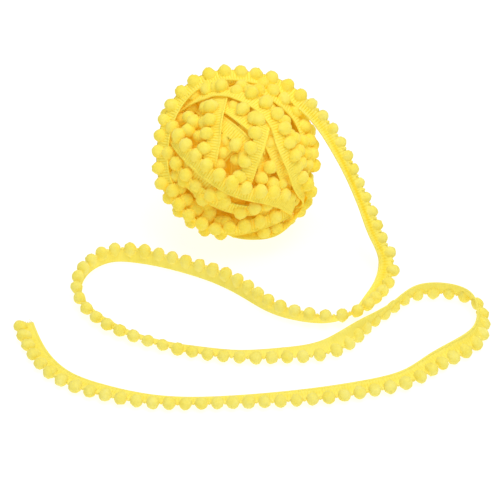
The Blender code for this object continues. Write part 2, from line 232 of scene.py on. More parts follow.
def noise(tree, place, scale, detail):
    made = tree.nodes.new("ShaderNodeTexNoise")
    made.inputs["Scale"].default_value = scale
    made.inputs["Detail"].default_value = detail
    made.inputs["Roughness"].default_value = 0.6
    tree.links.new(place, made.inputs["Vector"])
    return made.outputs["Fac"]


def ramp(tree, source, stops):
    made = tree.nodes.new("ShaderNodeValToRGB")
    tree.links.new(source, made.inputs["Fac"])
    elements = made.color_ramp.elements
    elements[0].position, elements[1].position = stops[0][0], stops[-1][0]
    elements[0].color, elements[1].color = (*stops[0][1], 1.0), (*stops[-1][1], 1.0)
    for place, colour in stops[1:-1]:
        elements.new(place).color = (*colour, 1.0)
    return made.outputs["Color"]


def bump(tree, shader, height, strength, distance):
    made = tree.nodes.new("ShaderNodeBump")
    made.inputs["Strength"].default_value = strength
    made.inputs["Distance"].default_value = distance
    tree.links.new(height, made.inputs["Height"])
    tree.links.new(made.outputs["Normal"], shader.inputs["Normal"])


def object_place(tree):
    return tree.nodes.new("ShaderNodeTexCoord").outputs["Object"]


def painted_paler(stops, by):
    """The same stops with their blue raised by the given share, and their red lowered by a ninth of it:
    painted light, which makes the loose end's copy of the trim paler than the wound ball's.
    """
    return [(place, (red * (1.0 - by / 9), green, blue * (1.0 + by))) for place, (red, green, blue) in stops]


def pile_material(name, painted_pale):
    """Cut pile: short fibres as a fine grain, paler on their tips, deeper where the pile parts."""
    material, tree, shader = shade(name, 0.2, 0.05)
    place = object_place(tree)
    grain = noise(tree, place, 2300.0, 3.0)
    cloud = noise(tree, place, 120.0, 2.0)
    tone = maths(tree, "MULTIPLY_ADD", cloud, 0.5, maths(tree, "MULTIPLY", grain, 0.6))
    stops = ((0.38, (0.985, 0.75, 0.05)), (0.55, (0.99, 0.825, 0.115)), (0.75, (0.995, 0.865, 0.19)))
    tree.links.new(ramp(tree, tone, painted_paler(stops, painted_pale)), shader.inputs["Base Color"])
    bump(tree, shader, grain, 0.5, 0.0004)
    return material


def weave_material(name, painted_pale):
    """Woven tape, from its map: u counts the ribs, v is 0 at the hem, 1 at the pompoms, on to 2 below.

    The gap between two ribs is painted as a narrow line of deeper colour, painted shade, on the ribbed face,
    and a faint one twice as often below; the same lines also dip the bump.
    Along the tape's middle the colour is painted deeper still: painted shade where the tape curls and its
    pompoms shade it.
    """
    material, tree, shader = shade(name, 0.05, 0.05)
    weave = tree.nodes.new("ShaderNodeUVMap")
    weave.uv_map = "weave"
    split = tree.nodes.new("ShaderNodeSeparateXYZ")
    tree.links.new(weave.outputs["UV"], split.inputs[0])
    u, v = split.outputs["X"], split.outputs["Y"]
    above = maths(tree, "LESS_THAN", v, 1.0)
    ribbed = maths(tree, "MULTIPLY", maths(tree, "MULTIPLY_ADD", v, 9.0, -1.9, clamp=True), above)
    # Painted shade: these gap lines deepen the colour between ribs, and also dip the bump.
    gap = maths(tree, "MULTIPLY_ADD", maths(tree, "PINGPONG", u, 0.5), -6.0, 1.0, clamp=True)
    fine = maths(tree, "MULTIPLY_ADD", maths(tree, "PINGPONG", u, 0.25), -5.0, 1.0, clamp=True)
    drawn = tree.nodes.new("ShaderNodeAttribute")
    drawn.attribute_name = "ribs"
    coarse = maths(tree, "MULTIPLY", maths(tree, "MAXIMUM", ribbed, 0.4), drawn.outputs["Fac"])
    below = maths(tree, "MULTIPLY", maths(tree, "SUBTRACT", 1.0, coarse), 0.3)
    deep = maths(tree, "ADD", maths(tree, "MULTIPLY", gap, coarse), maths(tree, "MULTIPLY", fine, below))
    place = object_place(tree)
    grain = noise(tree, place, 3000.0, 2.0)
    cloud = noise(tree, place, 150.0, 2.0)
    thread = maths(tree, "PINGPONG", maths(tree, "MULTIPLY", v, 9.0), 0.5)
    mixed = maths(tree, "MULTIPLY_ADD", grain, 0.25, maths(tree, "MULTIPLY_ADD", cloud, 0.25, 0.45))
    tone = maths(tree, "MULTIPLY_ADD", deep, -0.5, mixed)
    # Painted shade: deeper colour along the tape's middle, set by the fold attribute.
    painted_fold_shade = tree.nodes.new("ShaderNodeAttribute")
    painted_fold_shade.attribute_name = "painted_fold_shade"
    from_fold = maths(tree, "ABSOLUTE", maths(tree, "ADD", v, -0.55))
    fold_shade_mask = maths(tree, "MULTIPLY_ADD", from_fold, -3.0, 1.0, clamp=True)
    tone = maths(tree, "SUBTRACT", tone, maths(tree, "MULTIPLY", fold_shade_mask, painted_fold_shade.outputs["Fac"]))
    stops = ((0.15, (0.97, 0.66, 0.02)), (0.5, (0.985, 0.80, 0.08)), (0.8, (0.995, 0.86, 0.165)))
    tree.links.new(ramp(tree, tone, painted_paler(stops, painted_pale)), shader.inputs["Base Color"])
    height = maths(tree, "MULTIPLY_ADD", thread, 0.5, maths(tree, "MULTIPLY_ADD", deep, -0.6, grain))
    bump(tree, shader, height, 0.4, 0.0003)
    return material


def core_material(name):
    """The turns deep inside the ball, seen only through the gaps, coloured a deeper orange than the outer
    tape: painted shade of the ball's depths.
    """
    material, tree, shader = shade(name, 0.0, 0.05)
    cells = tree.nodes.new("ShaderNodeTexVoronoi")
    cells.inputs["Scale"].default_value = 190.0
    tree.links.new(object_place(tree), cells.inputs["Vector"])
    # Painted shade: a deeper orange than the outer turns' own colour.
    stops = ((0.1, (0.98, 0.74, 0.05)), (0.7, (0.97, 0.64, 0.02)))
    tree.links.new(ramp(tree, cells.outputs["Distance"], stops), shader.inputs["Base Color"])
    bump(tree, shader, cells.outputs["Distance"], 0.6, 0.001)
    return material


# Meshes


def add_piece(name, points, faces, material, nodes, corners=None):
    """A mesh from points in millimetres; corners holds the weave's map for each face corner in turn.

    What would dip below the floor is pressed flat on it.
    """
    points[:, 2] = np.maximum(points[:, 2], 0.0)
    mesh = bpy.data.meshes.new(name)
    mesh.from_pydata((points * MM).tolist(), [], [row for block in faces for row in block.tolist()])
    mesh.polygons.foreach_set("use_smooth", np.ones(len(mesh.polygons), bool))
    if corners is not None:
        layer = mesh.uv_layers.new(name="weave")
        layer.uv.foreach_set("vector", corners.astype(np.float32).ravel())
    mesh.materials.append(material)
    mesh.update()
    piece = bpy.data.objects.new(name, mesh)
    bpy.context.scene.collection.objects.link(piece)
    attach(piece, "root")
    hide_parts(*nodes)
    return piece


def turned_grid(rows, columns):
    """Quads of a grid whose columns close into a ring, as numbers of its points row by row."""
    i = np.arange(rows - 1)[:, None]
    j = np.arange(columns)[None, :]
    after = (j + 1) % columns
    low, high = i * columns, (i + 1) * columns
    return np.stack([low + j, low + after, high + after, high + j], axis=-1).reshape(-1, 4)


# The tape's section, from the plain hem over the ribbed face to the pompom edge and back below: across,
# up, how strongly the ribs show, how strongly the fine ribs below show, and the weave map's v
TAPE_SECTION = np.array(
    [
        (-2.62, 0.00, 0.2, 0.0, 0.00),
        (-2.42, 0.42, 0.3, 0.0, 0.06),
        (-2.00, 0.58, 0.3, 0.0, 0.12),
        (-1.58, 0.38, 0.1, 0.0, 0.18),
        (-1.30, 0.05, 0.6, 0.0, 0.23),
        (-0.80, 0.12, 1.0, 0.0, 0.30),
        (1.00, 0.16, 1.0, 0.0, 0.60),
        (2.60, 0.14, 1.0, 0.0, 0.84),
        (4.20, 0.10, 0.7, 0.0, 0.95),
        (TAPE_EDGE, -0.05, 0.0, 0.0, 1.00),
        (4.10, -0.24, 0.0, 0.6, 1.15),
        (1.20, -0.28, 0.0, 1.0, 1.45),
        (-1.40, -0.28, 0.0, 1.0, 1.78),
        (-2.30, -0.36, 0.0, 0.0, 1.90),
    ]
)


def rib_places(length):
    """Distances along the tape that have a row of points, and how far the ribs rise at each."""
    ribs = int(length / RIB_PITCH)
    places = RIB_PITCH * (np.arange(ribs)[:, None] + np.array(RIB_ROWS)).ravel()
    rise = np.tile(RIB_RISE, ribs)
    return np.append(places, ribs * RIB_PITCH), np.append(rise, 0.0)


def tape_points(lie, along, ribs, curl):
    """The woven tape: its section bent to an arc across and carried along the lie.

    Its ribs rise by ribs times RIB_HEIGHT. A point at distance w from the tape's middle, on an arc of radius
    1/c, lies sin(c*w)/c across and (1 - cos(c*w))/c up, and its height above the cloth's middle is laid off
    along the arc's own normal.
    Returns the points, their quads with end caps, and the map's corners, u one to a rib.
    """
    here, to_pompom, face = lie
    fine = np.abs(np.sin(math.tau * along / RIB_PITCH))
    across, up, ribbed, finely, v = TAPE_SECTION.T
    high = up[None, :] + RIB_HEIGHT * ribbed * ribs[:, None] - FINE_RIB_HEIGHT * finely * fine[:, None]
    bend = np.where(np.abs(curl) < LEAST_CURL, LEAST_CURL, curl)[:, None]
    turned = bend * (across - TAPE_MIDDLE)[None, :]
    wide = TAPE_MIDDLE + np.sin(turned) / bend - high * np.sin(turned)
    high = (1.0 - np.cos(turned)) / bend + high * np.cos(turned)
    points = here[:, None, :] + wide[..., None] * to_pompom[:, None, :] + high[..., None] * face[:, None, :]
    rows, columns = len(along), len(across)
    quads = turned_grid(rows, columns)
    caps = np.stack([np.arange(columns)[::-1], (rows - 1) * columns + np.arange(columns)])
    u = along / RIB_PITCH
    v = np.append(v, 2.0)
    first, next_u = np.repeat(u[:-1], columns), np.repeat(u[1:], columns)
    left, right = np.tile(v[:-1], rows - 1), np.tile(v[1:], rows - 1)
    corners = np.stack([first, left, first, right, next_u, right, next_u, left], axis=-1).reshape(-1, 4, 2)
    if np.sum(np.cross(to_pompom, face)[0] * (here[1] - here[0])) > 0:
        quads, caps, corners = quads[:, ::-1], caps[:, ::-1], corners[:, ::-1]
    return points.reshape(-1, 3), quads, caps, corners.reshape(-1, 2)


def pompom_place(lie, curl, from_middle):
    """A pompom's middle beside a curled tape, and the way out to it: straight on from the arc's end."""
    here, to_pompom, face = lie
    bend = np.where(np.abs(curl) < LEAST_CURL, LEAST_CURL, curl)[:, None]
    turned = bend * (TAPE_EDGE - TAPE_MIDDLE)
    beyond = from_middle - TAPE_EDGE
    out = np.cos(turned) * to_pompom + np.sin(turned) * face
    edge = TAPE_MIDDLE + np.sin(turned) / bend
    return here + edge * to_pompom + (1.0 - np.cos(turned)) / bend * face + beyond * out, out


def add_tapes(name, lies, nodes, material):
    """Several tapes in one mesh. Each has its lie, rows, rib heights, rib strengths, curls and painted fold
    shades.
    """
    points, quads, caps, maps, strengths, fold_shades = [], [], [], [], [], []
    count = 0
    for lie, along, rise, strength, curl, fold_shade in lies:
        places, sides, ends, corners = tape_points(lie, along, rise * strength, curl)
        strengths.append(np.repeat(strength, len(TAPE_SECTION)))
        fold_shades.append(np.repeat(fold_shade, len(TAPE_SECTION)))
        points.append(places)
        quads.append(sides + count)
        caps.append(ends + count)
        maps.append(corners)
        count += len(places)
    ends = np.concatenate(caps)
    corners = np.concatenate(maps + [np.zeros((ends.size, 2))])
    faces = [np.concatenate(quads), ends]
    piece = add_piece(name, np.concatenate(points), faces, material, nodes, corners)
    for attribute, values in (("ribs", strengths), ("painted_fold_shade", fold_shades)):
        layer = piece.data.attributes.new(attribute, "FLOAT", "POINT")
        layer.data.foreach_set("value", np.concatenate(values).astype(np.float32))
    return piece


def add_pompoms(name, middles, ways, radii, drawn, nodes, material, seed):
    """Pompoms as balls on a grid of angle and height, each turned by chance and a little uneven.

    A ring at polar angle t has radius R*sin(t) and lies R*cos(t) out from the middle; the half toward the
    tape is drawn out, its R*cos(t) times the given share, and ends in a short neck.
    """
    chance = np.random.default_rng(seed)
    count = len(middles)
    side = unit(np.cross(ways, chance.normal(size=(count, 3))))
    other = np.cross(ways, side)
    polar = math.pi * (np.arange(POMPOM_RINGS) + 1) / (POMPOM_RINGS + 1)
    angle = math.tau * np.arange(POMPOM_AROUND) / POMPOM_AROUND
    shape = np.stack(
        [
            np.outer(np.sin(polar), np.cos(angle)),
            np.outer(np.sin(polar), np.sin(angle)),
            np.outer(np.cos(polar), np.ones(POMPOM_AROUND)),
        ],
        axis=-1,
    ).reshape(-1, 3)
    shape = np.concatenate([shape, [[0.0, 0.0, 1.0], [0.0, 0.0, -POMPOM_NECK]]])
    shape[:, 2] *= np.where(shape[:, 2] < 0.0, drawn, 1.0)
    uneven = 1.0 + POMPOM_UNEVEN * chance.normal(size=(count, len(shape), 1)).clip(-2, 2)
    local = shape[None] * uneven * radii[:, None, None]
    points = (
        middles[:, None, :]
        + local[..., 0:1] * side[:, None, :]
        + local[..., 1:2] * other[:, None, :]
        + local[..., 2:3] * ways[:, None, :]
    )
    ring = turned_grid(POMPOM_RINGS, POMPOM_AROUND)
    here = np.arange(POMPOM_AROUND)
    after = (here + 1) % POMPOM_AROUND
    last = (POMPOM_RINGS - 1) * POMPOM_AROUND
    top = np.stack([after, here, np.full(POMPOM_AROUND, len(shape) - 2)], axis=-1)
    bottom = np.stack([last + here, last + after, np.full(POMPOM_AROUND, len(shape) - 1)], axis=-1)
    step = len(shape) * np.arange(count)[:, None, None]
    quads = (ring[None, :, ::-1] + step).reshape(-1, 4)
    ends = np.concatenate([top, bottom])[:, ::-1]
    tips = (ends[None] + step).reshape(-1, 3)
    return add_piece(name, points.reshape(-1, 3), [quads, tips], material, nodes)


# Winding the ball

GRID_STEP = 1.0  # of the map of heights, in degrees
START_RADIUS = 26.5
CORE_RADIUS = START_RADIUS + 0.6
CORE_ROWS = 40
CORE_COLUMNS = 64
CLOSED_RADIUS = 34.0  # that sets how many steps a closed turn has
WOUND_STEP = 1.0
WAYS_AT_ONCE = 64
TUCK = 5.0  # how deep a turn's ends go in among the others
TUCK_LENGTH = 5.0
LAID_RADIUS = 2.75  # of a pompom, as far as the turns above it feel
DEEP_MOST = 35.4
PRESSED = 3.1  # how far a pompom gives under a turn that crosses it
EDGE_STRIPS = ((-2.6, -0.4), (0.4, 3.2))  # what each edge of a tape feels below it, from and to across
EDGES_APART = 3.4
EDGE_PLACES = 4
SPAN_REACH = 3
SPAN_BLUR = 5.0
LAYER = 0.62  # from what lies below to a tape's middle
WOUND_HALF_THICK = 0.5
POMPOM_SETTLED = 0.8  # of its radius that a pompom stays above what is below it
POMPOM_BELOW = 1.0  # how far a pompom may be below its tape, and above it
POMPOM_ABOVE = 1.6
UNDER_TAPE = 0.6  # from a tape's middle down to a pompom under it
CROSSED = 0.8  # of a pompom's radius beside a tape that still counts as crossed
FLOOR_CLEAR = 0.7
MOST_TILT = 3.4  # between a tape's two edges
WOUND_CURL = 0.03
RING_CURL = 0.10
JOIN = 18.0
DEEPEST_POMPOM = 6.5
FILLERS = 460
FILLER_LEVEL = 32.6  # of the pompoms between the turns, from the ball's middle, and in the pit
PIT_LEVEL = 29.0
PIT_PLACE = (-2.0, 3.0)
PIT_WIDE = 0.36
FILLER_APART = 4.5
FRONT_NEAR = 0.1  # a place is on the front if its way leads toward the viewer by more than this
BACK_NEAR = -0.05  # and at the back if by less than this
CLUSTERS = 1100
CLUSTER_APART = 5.0
BACK_LEVEL = 36.0
BACK_COVERS = 6  # turns of the back that lie over its clusters

# Turns that are circles round the ball: pole's longitude and latitude, opening, side of the pompoms, and
# least distance from the ball's middle. The inner ones go all round, the others keep clear of the front.
INNER_TURNS = (
    (0, 0, 91, 1, 27.0),
    (31, 34, 84, -1, 27.0),
    (-31, -34, 96, -1, 27.0),
    (12, 16, 80, 1, 27.0),
    (-90, 37, 84, 1, 27.0),
    (0, 5, 62, -1, 27.0),
    (180, 0, 58, 1, 27.0),
    (-100, 60, 70, 1, 27.0),
    (70, 70, 44, 1, 27.0),
    (-60, 20, 78, 1, 28.0),
    (20, -50, 60, -1, 28.0),
    (160, 50, 66, 1, 28.0),
    (-120, 20, 82, -1, 28.0),
    (110, -60, 50, -1, 28.0),
    (-170, -35, 66, 1, 29.0),
)
BACK_TURNS = (
    (90, -37, 101, 1, 31.5),
    (90, -37, 86, -1, 32.5),
    (60, -20, 72, 1, 32.5),
    (120, -20, 72, -1, 32.5),
    (90, -70, 62, 1, 32.5),
    (90, 2, 66, 1, 33.0),
    (50, -45, 62, -1, 33.0),
    (130, -50, 60, 1, 33.0),
    (90, -37, 55, 1, 33.5),
    (70, 0, 48, -1, 33.5),
    (112, -8, 54, 1, 34.0),
    (88, -62, 42, -1, 34.0),
    (100, -28, 26, 1, 34.5),
)

# Turns that the front shows, the lowest first: least distance from the ball's middle at the start and at
# the end, side of the pompoms (1 left of the way along, -1 right), and places, in millimetres right of and
# above the ball's middle as the camera sees it
FRONT_TURNS = (
    ("across the pit", 33.0, 32.0, -1, ((-13, 20), (-6, 14), (1, 8), (8, 0), (13, -8))),
    ("under the left", 33.0, 33.5, 1, ((-33, 14), (-30, 4), (-25, -6), (-18, -14), (-10, -21), (0, -25))),
    (
        "lower left, outer",
        34.8,
        35.5,
        1,
        ((-37, -4), (-33, -15), (-26, -23), (-17, -29), (-7, -33), (4, -35)),
    ),
    (
        "lower left, inner",
        34.5,
        34.5,
        1,
        ((-36, 8), (-31, -4), (-24, -13), (-15, -21), (-5, -26), (6, -28), (16, -27), (25, -22)),
    ),
    ("right of the pit", 34.5, 34.5, 1, ((8, 17), (13.7, 7.1), (16.1, 2.2), (19, -4), (22, -11), (25, -19))),
    ("above the pit", 34.5, 34.0, 1, ((-12, 29), (-6.3, 21.7), (-0.5, 16.6), (5, 12), (11, 6), (16, -1))),
    (
        "left of the pit",
        35.0,
        35.0,
        -1,
        ((-3, 34), (-6.3, 25.6), (-7.8, 17), (-9.8, 6.1), (-11.7, -3.7), (-14, -13)),
    ),
    (
        "middle right",
        35.3,
        35.3,
        -1,
        ((16, 25), (14.1, 17.3), (11.7, 8), (8.8, -2.2), (5.4, -12.4), (2, -22)),
    ),
    (
        "upper right",
        35.3,
        35.0,
        1,
        ((-2, 35), (10.7, 30), (19, 25), (26, 19), (31, 10), (33.5, -1), (32.5, -14)),
    ),
    (
        "bottom, lower",
        38.5,
        39.0,
        1,
        ((-33, -16), (-27, -25), (-19, -32), (-9, -36.5), (1, -38), (11, -37), (20, -33.5), (28, -27)),
    ),
    (
        "bottom",
        36.5,
        37.5,
        1,
        (
            (-34, -9),
            (-30, -18),
            (-24, -25.5),
            (-17, -30.6),
            (-9, -33.9),
            (-1, -34.8),
            (7, -34),
            (15, -31.8),
            (23, -28),
            (30, -22),
        ),
    ),
    (
        "slantwise",
        35.8,
        37.6,
        1,
        (
            (-35, 18),
            (-32.7, 10.5),
            (-26.8, 1.2),
            (-20, -5.8),
            (-11.7, -12.6),
            (-3.4, -17.6),
            (4.9, -20.4),
            (14.1, -22),
            (24, -25),
            (30, -30),
        ),
    ),
    (
        "over the top",
        35.8,
        38.6,
        1,
        (
            (-35, 8),
            (-31, 17.5),
            (-26.3, 22.9),
            (-20, 26.4),
            (-11.7, 28.4),
            (-3.4, 27.8),
            (4.9, 25),
            (10.7, 20.7),
            (15.6, 14.7),
            (19.5, 6.4),
            (22.4, -0.9),
            (25.4, -8),
            (27.8, -14.8),
            (29.8, -21.9),
            (29, -31),
        ),
    ),
)

# The last turn round the outside, where it stands off the ball: right, above and near as above, then how
# far its pompom edge is raised. It starts where the loose end leaves.
OUTER_RING = (
    (30.2, 23.2, 11.9, 52),
    (25.6, 28.2, 10.0, 46),
    (17.6, 33.0, 10.0, 38),
    (9.3, 35.1, 12.0, 32),
    (0.5, 36.5, 13.5, 28),
    (-8.4, 36.3, 14.7, 27),
    (-15.8, 34.1, 15.4, 27),
    (-22.8, 29.2, 15.8, 27),
    (-28.2, 22.5, 16.2, 27),
    (-31.6, 15.6, 16.7, 27),
    (-33.7, 7.7, 17.0, 27),
    (-34.6, -2.0, 16.5, 28),
    (-33.7, -10.7, 16.0, 30),
    (-30.4, -18.4, 14.0, 32),
    (-24.9, -25.6, 12.0, 32),
    (-18.5, -31.4, 11.0, 28),
    (-10.5, -35.9, 9.5, 18),
    (-1.0, -38.6, 8.5, -35),
    (9.0, -39.2, 7.0, -55),
    (18.0, -37.6, 6.0, -50),
    (26.0, -31.8, 5.0, -25),
    (32.0, -24.6, 2.0, 0),
    (35.0, -15.0, -4.0, 10),
    (33.5, -5.0, -12.0, 10),
    (28.0, 3.9, -20.0, 10),
)


# Where the front shows pompoms close together: right and above the ball's middle, how far round, their
# level, and the turn they lie on
CLUSTER_PLACES = (
    (-25.0, -21.0, 15.0, 35.2, "lower left, inner"),
    (-28.0, 10.0, 9.0, 34.4, "under the left"),
    (19.0, -13.0, 8.0, 33.8, "middle right"),
    (-3.0, -2.0, 7.0, 31.0, "across the pit"),
    (-17.0, 15.0, 8.0, 33.6, "under the left"),
    (6.0, -8.0, 7.0, 32.6, "across the pit"),
    (29.0, 0.0, 9.0, 35.6, "upper right"),
    (6.0, 31.0, 9.0, 36.0, "upper right"),
    (8.0, -29.0, 9.0, 35.6, "lower left, inner"),
)


class Heights:
    """How far out the ball has grown, on a map of longitude and latitude, for tapes and for pompoms."""

    def __init__(self):
        self.rows = round(180 / GRID_STEP) + 1
        self.columns = round(360 / GRID_STEP)
        lat = np.radians(np.linspace(-90, 90, self.rows))[:, None]
        lon = np.radians(np.arange(self.columns) * GRID_STEP)[None, :]
        self.ways = np.stack(
            [np.cos(lat) * np.cos(lon), np.cos(lat) * np.sin(lon), np.sin(lat) * np.ones_like(lon)], axis=-1
        ).reshape(-1, 3)
        self.tape = np.full(len(self.ways), START_RADIUS)
        self.pile = np.full(len(self.ways), START_RADIUS)

    def numbers(self, ways):
        lat = np.degrees(np.arcsin(np.clip(ways[..., 2], -1, 1)))
        lon = np.degrees(np.arctan2(ways[..., 1], ways[..., 0])) % 360
        row = np.round((lat + 90) / GRID_STEP).astype(int)
        column = np.round(lon / GRID_STEP).astype(int) % self.columns
        return row * self.columns + column

    def soft(self, ways):
        """What a new turn lies on: the tapes, and the pompoms pressed down a little."""
        number = self.numbers(ways)
        return np.maximum(self.tape[number], self.pile[number] - PRESSED)

    def top(self, ways):
        number = self.numbers(ways)
        return np.maximum(self.tape[number], self.pile[number])


def circle_ways(pole_lon, pole_lat, opening, radius):
    """Directions round a circle at that angle from its pole, a step apart on the ball's surface."""
    lon, lat, wide = math.radians(pole_lon), math.radians(pole_lat), math.radians(opening)
    pole = np.array([math.cos(lat) * math.cos(lon), math.cos(lat) * math.sin(lon), math.sin(lat)])
    level = unit(np.cross([0.02, 0.01, 1.0], pole))
    count = round(math.tau * math.sin(wide) * radius / WOUND_STEP)
    phase = math.tau * np.arange(count + 1) / count
    around = np.outer(np.cos(phase), level) + np.outer(np.sin(phase), np.cross(pole, level))
    return math.cos(wide) * pole + math.sin(wide) * around


def seen_ways(places, radius):
    """Directions of places seen on the front of the ball, joined by a smooth line, a step apart."""
    flat = np.array(places, float)
    depth = np.sqrt(np.maximum(radius**2 - np.sum(flat**2, axis=1), 1.0))
    points = flat[:, :1] * SEEN_RIGHT + flat[:, 1:] * SEEN_UP + depth[:, None] * SEEN_NEAR
    knots = distance_along(points)
    dense = unit(smooth_line(points, knots, np.arange(0.0, knots[-1], WOUND_STEP)))
    return dense


def wind(heights, ways, side, least, closed):
    """Draws one turn over the ball. Its two edges span from one high place to the next.

    Returns middles from the ball's middle, ways to the pompoms, face ways and distances along.
    """
    forward = unit(np.gradient(ways, axis=0))
    if closed:
        forward[0] = forward[-1] = unit(ways[1] - ways[-2])
    to_pompom = side * np.cross(ways, forward)
    edges = []
    for inner, outer in EDGE_STRIPS:
        across = np.linspace(inner, outer, EDGE_PLACES)
        beside = ways[:, None, :] * np.mean(least) + across[None, :, None] * to_pompom[:, None, :]
        under = heights.soft(unit(beside))
        spanned = blurred(spread_up(under.max(axis=1), SPAN_REACH, closed), SPAN_BLUR, closed)
        edges.append(np.maximum(spanned + LAYER, least))
    plain, sewn = edges
    tilt = np.clip(sewn - plain, -MOST_TILT, MOST_TILT)
    level = np.maximum((plain + sewn) / 2, heights.tape[heights.numbers(ways)] + LAYER)
    to_floor = (BALL_HEIGHT - FLOOR_CLEAR) / np.maximum(-ways[:, 2], 1e-6)
    level = np.minimum(level, to_floor)
    if closed:
        level = np.minimum(level, DEEP_MOST)
    else:
        from_end = np.minimum(np.arange(len(ways)), np.arange(len(ways))[::-1]) * WOUND_STEP
        level = level - TUCK * np.exp(-((from_end / TUCK_LENGTH) ** 2))
    slope = (tilt / EDGES_APART)[:, None]
    width_way = unit(to_pompom + slope * ways)
    face = unit(ways - slope * to_pompom)
    middle = ways * level[:, None]
    lay_tape(heights, ways, to_pompom, level, slope[:, 0])
    return middle, width_way, face, distance_along(middle)


def lay_tape(heights, ways, to_pompom, level, slope):
    """Raises the map of heights where the tape lies."""
    nearest = np.zeros(len(heights.ways), int)
    closeness = np.full(len(heights.ways), -1.0)
    for first in range(0, len(ways), WAYS_AT_ONCE):
        block = heights.ways @ ways[first : first + WAYS_AT_ONCE].T
        best = block.argmax(axis=1)
        value = block[np.arange(len(best)), best]
        better = value > closeness
        closeness[better] = value[better]
        nearest[better] = best[better] + first
    across = np.sum(heights.ways * to_pompom[nearest], axis=1) * level[nearest]
    beside = np.arccos(np.clip(closeness, -1, 1)) * level[nearest]
    under = (np.abs(across) < TAPE_EDGE) & (beside < TAPE_EDGE + WOUND_HALF_THICK)
    surface = level[nearest] + across * slope[nearest] + WOUND_HALF_THICK
    heights.tape = np.where(under, np.maximum(heights.tape, surface), heights.tape)


def set_pompoms(heights, turn):
    """Sets a turn's pompoms down on what lies beside its tape, and adds their domes to the heights."""
    middle, width_way, _, along = turn
    count = int(along[-1] / POMPOM_PITCH)
    places = (np.arange(count) + 0.5) * POMPOM_PITCH
    here = read_along(middle, along, places)
    out = unit(read_along(width_way, along, places))
    level = np.linalg.norm(here, axis=1)
    place = here + WOUND_POMPOM_OUT * out
    ways = unit(place)
    radius = heights.top(ways) + POMPOM_SETTLED * LAID_RADIUS
    radius = np.clip(radius, level - POMPOM_BELOW, level + POMPOM_ABOVE)
    to_floor = (BALL_HEIGHT - LAID_RADIUS) / np.maximum(-ways[:, 2], 1e-6)
    place = ways * np.minimum(radius, to_floor)[:, None]
    for middle_of in place:
        distance = np.linalg.norm(middle_of)
        beside = np.linalg.norm(heights.ways - middle_of / distance, axis=1) * distance
        dome = distance + np.sqrt(np.maximum(LAID_RADIUS**2 - beside**2, 0.0))
        heights.pile = np.where(beside < LAID_RADIUS, np.maximum(heights.pile, dome), heights.pile)
    return place, out


def press_down(places, turn_numbers, turns):
    """Lowers each pompom that a later turn crosses until it lies under that tape."""
    radius = np.linalg.norm(places, axis=1)
    ways = places / radius[:, None]
    for number, (middle, _, _, _) in enumerate(turns):
        level = np.linalg.norm(middle, axis=1)
        closeness = ways @ (middle / level[:, None]).T
        nearest = closeness.argmax(axis=1)
        beside = np.arccos(np.clip(closeness.max(axis=1), -1, 1)) * level[nearest]
        over = np.clip((beside - TAPE_HALF) / WOUND_POMPOM_RADIUS, 0.0, 1.0)
        most = level[nearest] - UNDER_TAPE - WOUND_POMPOM_RADIUS * np.sqrt(1.0 - over**2)
        crossed = (turn_numbers < number) & (beside < TAPE_HALF + CROSSED * WOUND_POMPOM_RADIUS)
        radius = np.where(crossed, np.minimum(radius, most), radius)
    return ways * radius[:, None], radius


def even_ways(count):
    """Directions evenly over the ball: number n lies 1 - (2n+1)/count up, turned by n golden angles."""
    n = np.arange(count)
    high = 1.0 - (2 * n + 1) / count
    turned = n * math.pi * (3.0 - math.sqrt(5.0))
    flat = np.sqrt(1.0 - high**2)
    return np.stack([flat * np.cos(turned), flat * np.sin(turned), high], axis=1)


def clear_of(places, others, apart):
    """Which places are at least so far from all the others."""
    return np.min(np.linalg.norm(places[:, None] - others[None], axis=2), axis=1) > apart


def fill_between(placed, turns, first_front):
    """Pompoms of other turns that show between the placed ones: first the clusters, then deeper ones."""
    names = [row[0] for row in FRONT_TURNS]
    ways = even_ways(CLUSTERS)
    right, above, near = ways @ SEEN_RIGHT, ways @ SEEN_UP, ways @ SEEN_NEAR
    found = []
    chosen = [(near < BACK_NEAR, BACK_LEVEL, first_front - BACK_COVERS)]
    for x, y, reach, level, under in CLUSTER_PLACES:
        inside = (near > FRONT_NEAR) & (np.hypot(right * level - x, above * level - y) < reach)
        chosen.append((inside, level, first_front + names.index(under)))
    for inside, level, number in chosen:
        places, _ = press_down(ways[inside] * level, np.full(inside.sum(), number), turns)
        places = places[clear_of(places, placed, CLUSTER_APART)]
        kept = np.ones(len(places), bool)
        for n, place in enumerate(places):
            earlier = places[:n][kept[:n]]
            kept[n] = n == 0 or np.linalg.norm(earlier - place, axis=1).min() > CLUSTER_APART
        placed = np.concatenate([placed, places[kept]])
        found.append(places[kept])
    ways = even_ways(FILLERS)
    pit = seen_ways((PIT_PLACE, (PIT_PLACE[0], PIT_PLACE[1] + 2.0)), PIT_LEVEL)[0]
    from_pit = np.arccos(np.clip(ways @ pit, -1, 1))
    level = FILLER_LEVEL - (FILLER_LEVEL - PIT_LEVEL) * np.exp(-((from_pit / PIT_WIDE) ** 2))
    places, _ = press_down(ways * level[:, None], np.full(FILLERS, -1), turns)
    found.append(places[clear_of(places, placed, FILLER_APART)])
    places = np.concatenate(found)
    return places, unit(places)


def read_lie(turn, places):
    """A turn's middles, ways to the pompoms and face ways at distances along it."""
    *parts, along = turn
    middle, to_pompom, face = (read_along(part, along, places) for part in parts)
    return middle, unit(to_pompom), unit(face)


def ribbed_tape(turn, curl):
    """What add_tapes takes of a turn, moved from the ball's middle to its place above the floor."""
    places, rise = rib_places(turn[3][-1])
    middle, to_pompom, face = read_lie(turn, places)
    full = np.ones(len(places))
    return (middle + BALL_MIDDLE, to_pompom, face), places, rise, full, full * curl, full * 0.0


def plain_tape(turn):
    """The same for a turn deep inside, with one row to a rib."""
    places = np.arange(0.0, turn[3][-1], RIB_PITCH)
    middle, to_pompom, face = read_lie(turn, places)
    level = np.zeros(len(places))
    return (middle + BALL_MIDDLE, to_pompom, face), places, level, level + 1.0, level, level


